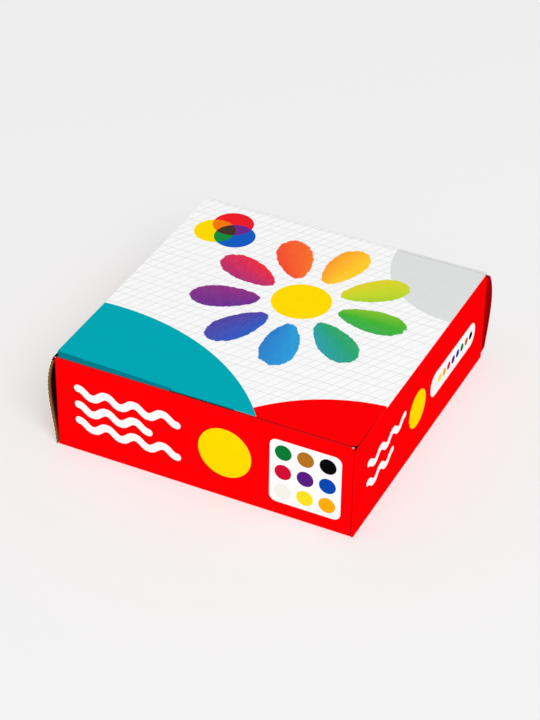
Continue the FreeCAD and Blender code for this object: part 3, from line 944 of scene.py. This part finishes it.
def floor_paint():
    """Pale paper; a share of it shows its plain colour, so that the box tints it less."""
    stage = settings().stage
    finish = Finish("floor_paint")
    tone = stage.floor
    cloud_share, cloud_dim = 0.05, 0.97
    cloud = finish.noise(feature=400.0)
    grain = finish.noise(feature=1.5)
    finish.put(
        Base_Color=finish.paint(finish.times(cloud, cloud_share), tone, dimmed(tone, cloud_dim)),
        Roughness=finish.between(grain, low=0.7, high=0.85),
        Specular_IOR_Level=0.1)
    nodes = finish.tree.nodes
    glow = nodes.new("ShaderNodeEmission")
    finish.feed(glow.inputs["Color"], tone)
    blend = nodes.new("ShaderNodeMixShader")
    finish.feed(blend.inputs[0], finish.times(seen_plainly(finish.tree), stage.floor_glow))
    finish.feed(blend.inputs[1], finish.shader.outputs[0])
    finish.feed(blend.inputs[2], glow.outputs[0])
    finish.feed(nodes["Material Output"].inputs["Surface"], blend.outputs[0])
    return finish.material


# Helpers for modelling

def deselect_all():
    if bpy.context.mode != "OBJECT":
        bpy.ops.object.mode_set(mode="OBJECT")
    bpy.ops.object.select_all(action="DESELECT")


def dress(node, material):
    """Gives a CAD node one material."""
    target = frame["nodes"][node]
    if not target.material_slots:
        target.data.materials.append(material)
    for entry in target.material_slots:
        entry.material = material
    return target


def soften(target, width):
    """Joins a CAD node's loose triangles and rounds its sharp edges, as live modifiers."""
    weld = target.modifiers.new("Joined", "WELD")
    weld.merge_threshold = TOUCHING
    bevel = target.modifiers.new("Soft edges", "BEVEL")
    bevel.width = width
    bevel.segments = 2
    bevel.limit_method = "ANGLE"
    bevel.angle_limit = SHARP
    bevel.harden_normals = True


def pick(target, test):
    """Selects the points of the mesh in edit mode that pass a test."""
    mesh = bmesh.from_edit_mesh(target.data)
    bpy.ops.mesh.select_all(action="DESELECT")
    for point in mesh.verts:
        point.select_set(test(point.co))
    mesh.select_flush(True)
    bmesh.update_edit_mesh(target.data)


def begin(name):
    """Names the primitive just added and opens it in edit mode."""
    made = bpy.context.object
    made.name = name
    made.data.name = name
    bpy.ops.object.transform_apply(location=True, rotation=True, scale=True)
    bpy.ops.object.mode_set(mode="EDIT")
    return made


def close(made, material):
    """Leaves edit mode and gives the piece its finish."""
    bpy.ops.object.mode_set(mode="OBJECT")
    bpy.ops.object.shade_smooth_by_angle(angle=SHARP)
    made.data.materials.append(material)
    return made


def rise_by(step, scale, centre):
    """Extrudes what is selected by a height and scales the new ring about the piece's middle."""
    bpy.ops.mesh.extrude_region_move(TRANSFORM_OT_translate={"value": (0.0, 0.0, step)})
    bpy.ops.transform.resize(value=(scale, scale, 1.0), center_override=centre)


def lathe(profile, centre, start):
    """Grows rings from the selected circle through (radius, height) steps."""
    radius, height = start
    for next_radius, next_height in profile:
        rise_by(next_height - height, next_radius / radius, centre)
        radius, height = next_radius, next_height


def folded_strip(name, rows, material):
    """Paper strip along X; each row gives its left end, right end, y and z."""
    deselect_all()
    bpy.ops.mesh.primitive_grid_add(x_subdivisions=1, y_subdivisions=len(rows) - 1, size=1.0)
    made = begin(name)
    lines = sorted({round(point.co.y, 6) for point in bmesh.from_edit_mesh(made.data).verts})
    lift = 10.0     # a row that has its place is held up here, out of the way of the next ones
    near = 1e-5
    for line, (left, right, y, z) in zip(lines, rows):
        pick(made, lambda co: abs(co.y - line) < near and co.z < lift / 2)
        bpy.ops.transform.resize(value=(right - left, 1.0, 1.0), center_override=(0.0, 0.0, 0.0))
        bpy.ops.transform.translate(value=((left + right) / 2, y - line, z + lift))
    bpy.ops.mesh.select_all(action="SELECT")
    bpy.ops.transform.translate(value=(0.0, 0.0, -lift))
    bpy.ops.object.mode_set(mode="OBJECT")
    sheet = made.modifiers.new("Paper", "SOLIDIFY")
    sheet.thickness = settings().carton.skin
    sheet.offset = 0.0
    bpy.ops.object.modifier_apply(modifier=sheet.name)
    return close(made, material)


def arc(axis, radius, first, last):
    """Places on an arc round an axis, angles in degrees from +Y towards +Z."""
    steps = 10
    places = []
    for index in range(steps + 1):
        angle = math.radians(first + (last - first) * index / steps)
        places.append((axis[0] + radius * math.cos(angle), axis[1] + radius * math.sin(angle)))
    return places


def row(one_end, other_end, y, z):
    """Row of a strip: left end, right end and place."""
    return (min(one_end, other_end), max(one_end, other_end), y, z)


def bridge(piece, first, last):
    """Bakes a strip's place into its mesh; it does not use the two rows."""
    Vector((0.0, *first[2:]))
    Vector((0.0, *last[2:]))
    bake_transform(piece)


def copy_to(made, name, shift, material):
    """Copy of a finished piece, with its own mesh, moved and applied."""
    deselect_all()
    twin = made.copy()
    twin.data = made.data.copy()
    twin.name = name
    twin.data.name = name
    bpy.context.collection.objects.link(twin)
    twin.select_set(True)
    bpy.context.view_layer.objects.active = twin
    bpy.ops.transform.translate(value=shift)
    bpy.ops.object.transform_apply(location=True, rotation=True, scale=True)
    twin.data.materials[0] = material
    return twin


def in_every_pot(made, node, materials):
    """Each pot's number and piece: the first pot's, then its copies, placed as those CAD nodes are.

    They come one by one, so a copy also carries what has been said of the first piece by then.
    """
    yield POTS[0], made
    first = Vector(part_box("%s_1" % node)[0])
    for number, material in zip(POTS[1:], materials[1:]):
        shift = Vector(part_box("%s_%d" % (node, number))[0]) - first
        name = made.name.replace("_1", "_%d" % number)
        yield number, copy_to(made, name, tuple(shift), material)


def direction(azimuth, elevation):
    """Unit vector towards a place right of the front and over the floor."""
    flat = math.cos(elevation)
    return Vector((math.sin(azimuth) * flat, -math.cos(azimuth) * flat, math.sin(elevation)))


# Operators

class PAINTBOX_OT_stage(bpy.types.Operator):
    """Floor, lamp, surroundings and camera"""

    bl_idname = "paint_box.stage"
    bl_label = "Stage"

    def execute(self, context):
        stage = settings().stage
        self.lay_floor(stage)
        self.light(stage)
        self.camera(stage)
        return {"FINISHED"}

    def lay_floor(self, stage):
        deselect_all()
        bpy.ops.mesh.primitive_circle_add(vertices=96, radius=stage.floor_radius, fill_type="NGON")
        floor = bpy.context.object
        floor.name = "floor"
        floor.data.materials.append(floor_paint())

    def light(self, stage):
        scene = bpy.context.scene
        scene.view_settings.view_transform = "Standard"
        world = bpy.data.worlds.new("surroundings")
        world.use_nodes = True
        scene.world = world
        nodes, links = world.node_tree.nodes, world.node_tree.links
        plain = nodes["Background"]
        plain.inputs["Color"].default_value = (1.0, 1.0, 1.0, 1.0)
        plain.inputs["Strength"].default_value = stage.sky
        pale = nodes.new("ShaderNodeBackground")
        pale.inputs["Color"].default_value = (*stage.floor, 1.0)
        blend = nodes.new("ShaderNodeMixShader")
        links.new(seen_plainly(world.node_tree), blend.inputs[0])
        links.new(plain.outputs[0], blend.inputs[1])
        links.new(pale.outputs[0], blend.inputs[2])
        links.new(blend.outputs[0], nodes["World Output"].inputs["Surface"])
        lamp = bpy.data.lights.new("key", "AREA")
        lamp.shape = "DISK"
        lamp.size = stage.key_size
        lamp.energy = stage.key_power
        key = bpy.data.objects.new("key", lamp)
        bpy.context.collection.objects.link(key)
        aim = Vector(stage.view_centre)
        away = direction(stage.key_azimuth, stage.key_elevation)
        key.location = aim + away * stage.key_distance
        key.rotation_euler = away.to_track_quat("Z", "Y").to_euler()

    def camera(self, stage):
        lens = bpy.data.cameras.new("camera")
        lens.lens = stage.focal_length
        lens.sensor_width = 36.0
        eye = bpy.data.objects.new("camera", lens)
        bpy.context.collection.objects.link(eye)
        centre = Vector(stage.view_centre)
        back = direction(stage.view_azimuth, stage.view_elevation)
        right = Vector((math.cos(stage.view_azimuth), math.sin(stage.view_azimuth), 0.0))
        upward = back.cross(right)
        lean = Matrix.Rotation(stage.view_roll, 3, back)
        right, upward = lean @ right, lean @ upward
        place = centre + back * stage.view_distance
        middle = centre + right * stage.view_aside[0] + upward * stage.view_aside[1]
        back = (place - middle).normalized()
        right = (right - back * right.dot(back)).normalized()
        upward = back.cross(right)
        turned = Matrix((right, upward, back)).transposed().to_4x4()
        eye.matrix_world = Matrix.Translation(place) @ turned
        bpy.context.scene.camera = eye


class PAINTBOX_OT_carton(bpy.types.Operator):
    """Print, kraft and cut edges of the carton's panels"""

    bl_idname = "paint_box.carton"
    bl_label = "Carton"

    def execute(self, context):
        bevel = settings().carton.edge_bevel
        for node, material in carton_boards().items():
            soften(dress(node, material), bevel)
        return {"FINISHED"}


class PAINTBOX_OT_creases(bpy.types.Operator):
    """Papers that bend over the creases of the lid and the tuck flap"""

    bl_idname = "paint_box.creases"
    bl_label = "Creases"

    def execute(self, context):
        self.hinge()
        self.tuck()
        return {"FINISHED"}

    def hinge(self):
        """Printed paper over the lid's crease, and the brown one inside it, down the leaning back wall."""
        carton = settings().carton
        axis = JOINTS["lid_hinge"]["pos_m"][1:]
        low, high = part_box("lid_panel")
        half = high[2] - axis[1]
        reach, lift = carton.skin_reach, carton.skin / 2
        over = [(axis[0] - reach, high[2] + lift)]
        over += arc(axis, half + lift, 90, 0)
        rows = [row(low[0], high[0], y, z) for y, z in over]
        skin = folded_strip("hinge_outer_paper", rows, fold_paper("hinge_paper", REAR))
        bridge(skin, rows[-1], rows[1])
        # Shares of half the board's thickness
        crease_shares = ((-0.5, 0.0), (0.3, -0.06), (1.0, -0.35))
        wall_shares = (1.2, 2.4, 3.6)
        lean_share, back_share, drop_share = 0.77, -0.6, 0.7
        level = low[2] - lift
        under = [(high[1] - reach, level)]
        under += [(high[1] + back * half, level + rise * half) for back, rise in crease_shares]
        for share in wall_shares:
            y = axis[0] + half * (lean_share * share + back_share)
            under.append((y, axis[1] - half * (share + drop_share)))
        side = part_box("right_inner_wall")[0][0] - carton.edge_bevel
        rows = [row(-side, side, y, z) for y, z in under]
        skin = folded_strip("hinge_inner_paper", rows, kraft_paper())
        bridge(skin, rows[-3], rows[1])

    def tuck(self):
        """Papers over the front fold on both sides of the thumb tab, and the brown ones inside it."""
        carton = settings().carton
        axis = JOINTS["tuck_fold"]["pos_m"][1:]
        low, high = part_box("lid_panel")
        half = high[2] - axis[1]
        reach, lift = carton.skin_reach, carton.skin / 2
        flap_low, flap_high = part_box("tuck_flap")
        lean = math.asin((flap_high[1] - axis[0] - half) / (axis[1] - flap_low[2]))
        aside = (half + lift) / math.cos(lean)
        # Shares of half the board's thickness
        fold_share, crook_share = 2, 0.1
        outer_shares, inner_shares = (4, 6), (2.6, 4, 6)

        def down_flap(start, shares):
            return [(start + share * half * math.tan(lean), axis[1] - share * half) for share in shares]

        swell = 1 + carton.fold_bulge / half
        roll = [(axis[0] + reach, high[2] + lift)]
        roll += [(axis[0] + (y - axis[0]) * swell, z) for y, z in arc(axis, half + lift, 90, 180)]
        hang = [(roll[-1][0], axis[1] - fold_share * half)]
        hang += down_flap(axis[0] - aside, outer_shares)
        back, level = axis[0] + aside, low[2] - lift
        inside = [(back + reach, level), (back + half, level - crook_share * half)]
        inside += down_flap(back, inner_shares)
        printed = fold_paper("tuck_paper", FRONT)
        brown = kraft_paper()
        for name, side, tab_end in zip(("left", "right"), (-1, 1), tab_span()):
            tab_end += side * carton.tab_slit
            flap_end = side * flap_high[0]
            rows = [row(side * (high[0] - lid_inset(y)), tab_end, y, z) for y, z in roll]
            rows += [row(flap_end, tab_end, y, z) for y, z in hang]
            skin = folded_strip("tuck_outer_paper_" + name, rows, printed)
            bridge(skin, rows[-2], rows[1])
            rows = [row(flap_end, tab_end, y, z) for y, z in inside]
            skin = folded_strip("tuck_inner_paper_" + name, rows, brown)
            bridge(skin, rows[-2], rows[1])


class PAINTBOX_OT_pots(bpy.types.Operator):
    """Plastics, foam and paint of the pots"""

    bl_idname = "paint_box.pots"
    bl_label = "Pots"

    def execute(self, context):
        finishes = {"jar": jar_plastic(), "cap": cap_plastic(), "seal": foam()}
        finishes["band"] = finishes["cap"]
        for number, name in zip(POTS, PAINTS):
            for piece, material in finishes.items():
                dress("%s_%d" % (piece, number), material)
            dress("paint_%d" % number, gouache(name))
        self.fills()
        self.marks(finishes["cap"])
        return {"FINISHED"}

    def fills(self):
        """Paint that has settled in its jar, higher at the wall."""
        low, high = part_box("paint_1")
        centre = ((low[0] + high[0]) / 2, (low[1] + high[1]) / 2, low[2])
        radius = (high[0] - low[0]) / 2
        climb, brim = settings().pots.meniscus, high[2] + 2 * SAME_PLACE
        # Shares of the radius outwards, and of the radius up or of the climb down
        bottom_share = 0.92
        foot_shares = ((0.965, 0.012), (0.99, 0.04), (1.0, 0.085))
        brim_shares = ((1.0, 0.0), (0.985, 0.45), (0.95, 0.8), (0.85, 1.0), (0.5, 0.9), (0.15, 0.75))
        bottom = radius * bottom_share
        profile = [(radius * out, low[2] + radius * rise) for out, rise in foot_shares]
        profile += [(radius * out, brim - climb * drop) for out, drop in brim_shares]
        deselect_all()
        bpy.ops.mesh.primitive_circle_add(vertices=72, radius=bottom, fill_type="NGON", location=centre)
        made = begin("paint_fill_1")
        bpy.ops.mesh.select_all(action="SELECT")
        lathe(profile, centre, (bottom, low[2]))
        bpy.ops.mesh.select_non_manifold()
        bpy.ops.mesh.edge_face_add()
        bpy.ops.mesh.select_all(action="SELECT")
        bpy.ops.mesh.normals_make_consistent(inside=False)
        materials = [frame["nodes"]["paint_%d" % number].material_slots[0].material for number in POTS]
        close(made, materials[0])
        for number, piece in in_every_pot(made, "paint", materials):
            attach(piece, "tray")
            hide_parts("paint_%d" % number)

    def marks(self, material):
        """Moulded ring and gate mark in each cap's dish."""
        pots = settings().pots
        low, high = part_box("cap_1")
        centre = ((low[0] + high[0]) / 2, (low[1] + high[1]) / 2, high[2])
        floor = self.dish(centre)
        start = (centre[0], centre[1], floor)
        ring_radius, gate_radius, rise = pots.mark_radius, pots.gate_radius, pots.mark_height
        # Shares of the rise inwards and up; for the gate, of its radius outwards
        ring_shares = ((0.5, 0.8), (1.0, 1.0), (3.0, 1.0), (3.5, 0.8), (4.0, 0.0))
        gate_shares = ((0.9, 0.7), (0.5, 1.0))
        ring = [(ring_radius - rise * inward, floor + rise * up) for inward, up in ring_shares]
        gate = [(gate_radius * out, floor + rise * up) for out, up in gate_shares]
        deselect_all()
        bpy.ops.mesh.primitive_circle_add(
            vertices=72, radius=ring_radius, fill_type="NOTHING", location=start)
        made = begin("cap_mark_1")
        bpy.ops.mesh.select_all(action="SELECT")
        lathe(ring, start, (ring_radius, floor))
        bpy.ops.mesh.select_all(action="DESELECT")
        bpy.ops.mesh.primitive_circle_add(vertices=24, radius=gate_radius, fill_type="NGON", location=start)
        lathe(gate, start, (gate_radius, floor))
        bpy.ops.mesh.select_all(action="SELECT")
        bpy.ops.mesh.normals_make_consistent(inside=False)
        close(made, material)
        for number, piece in in_every_pot(made, "cap", [material] * len(POTS)):
            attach(piece, "cap_body_%d" % number)

    def dish(self, centre):
        """Height of the cap's dish, read off the CAD node: its highest points near the middle."""
        near = settings().pots.mark_radius * 2
        points = points_of("cap_1")
        rim = max(point.z for point in points) - 2 * SAME_PLACE
        return max(p.z for p in points if (p - Vector(centre)).length < near and p.z < rim)


class PAINTBOX_PT_sidebar(bpy.types.Panel):
    """Sidebar of the paint box"""

    bl_idname = "PAINTBOX_PT_sidebar"
    bl_label = "Paint box"
    bl_space_type = "VIEW_3D"
    bl_region_type = "UI"
    bl_category = "Paint box"

    def draw(self, context):
        for step in STEPS:
            self.layout.operator("paint_box." + step)
        for group in (settings().carton, settings().pots, settings().stage):
            box = self.layout.box()
            for name in group.__annotations__:
                box.prop(group, name)


STEPS = ("stage", "carton", "creases", "pots")
CLASSES = (
    CartonSettings, PotSettings, StageSettings, PaintBoxSettings,
    PAINTBOX_OT_stage, PAINTBOX_OT_carton, PAINTBOX_OT_creases, PAINTBOX_OT_pots, PAINTBOX_PT_sidebar,
)


def register():
    for entry in CLASSES:
        bpy.utils.register_class(entry)
    bpy.types.Scene.paint_box = bpy.props.PointerProperty(type=PaintBoxSettings)


def unregister():
    del bpy.types.Scene.paint_box
    for entry in reversed(CLASSES):
        bpy.utils.unregister_class(entry)


def main():
    register()
    for step in STEPS:
        getattr(bpy.ops.paint_box, step)()


if __name__ == "__main__":
    main()
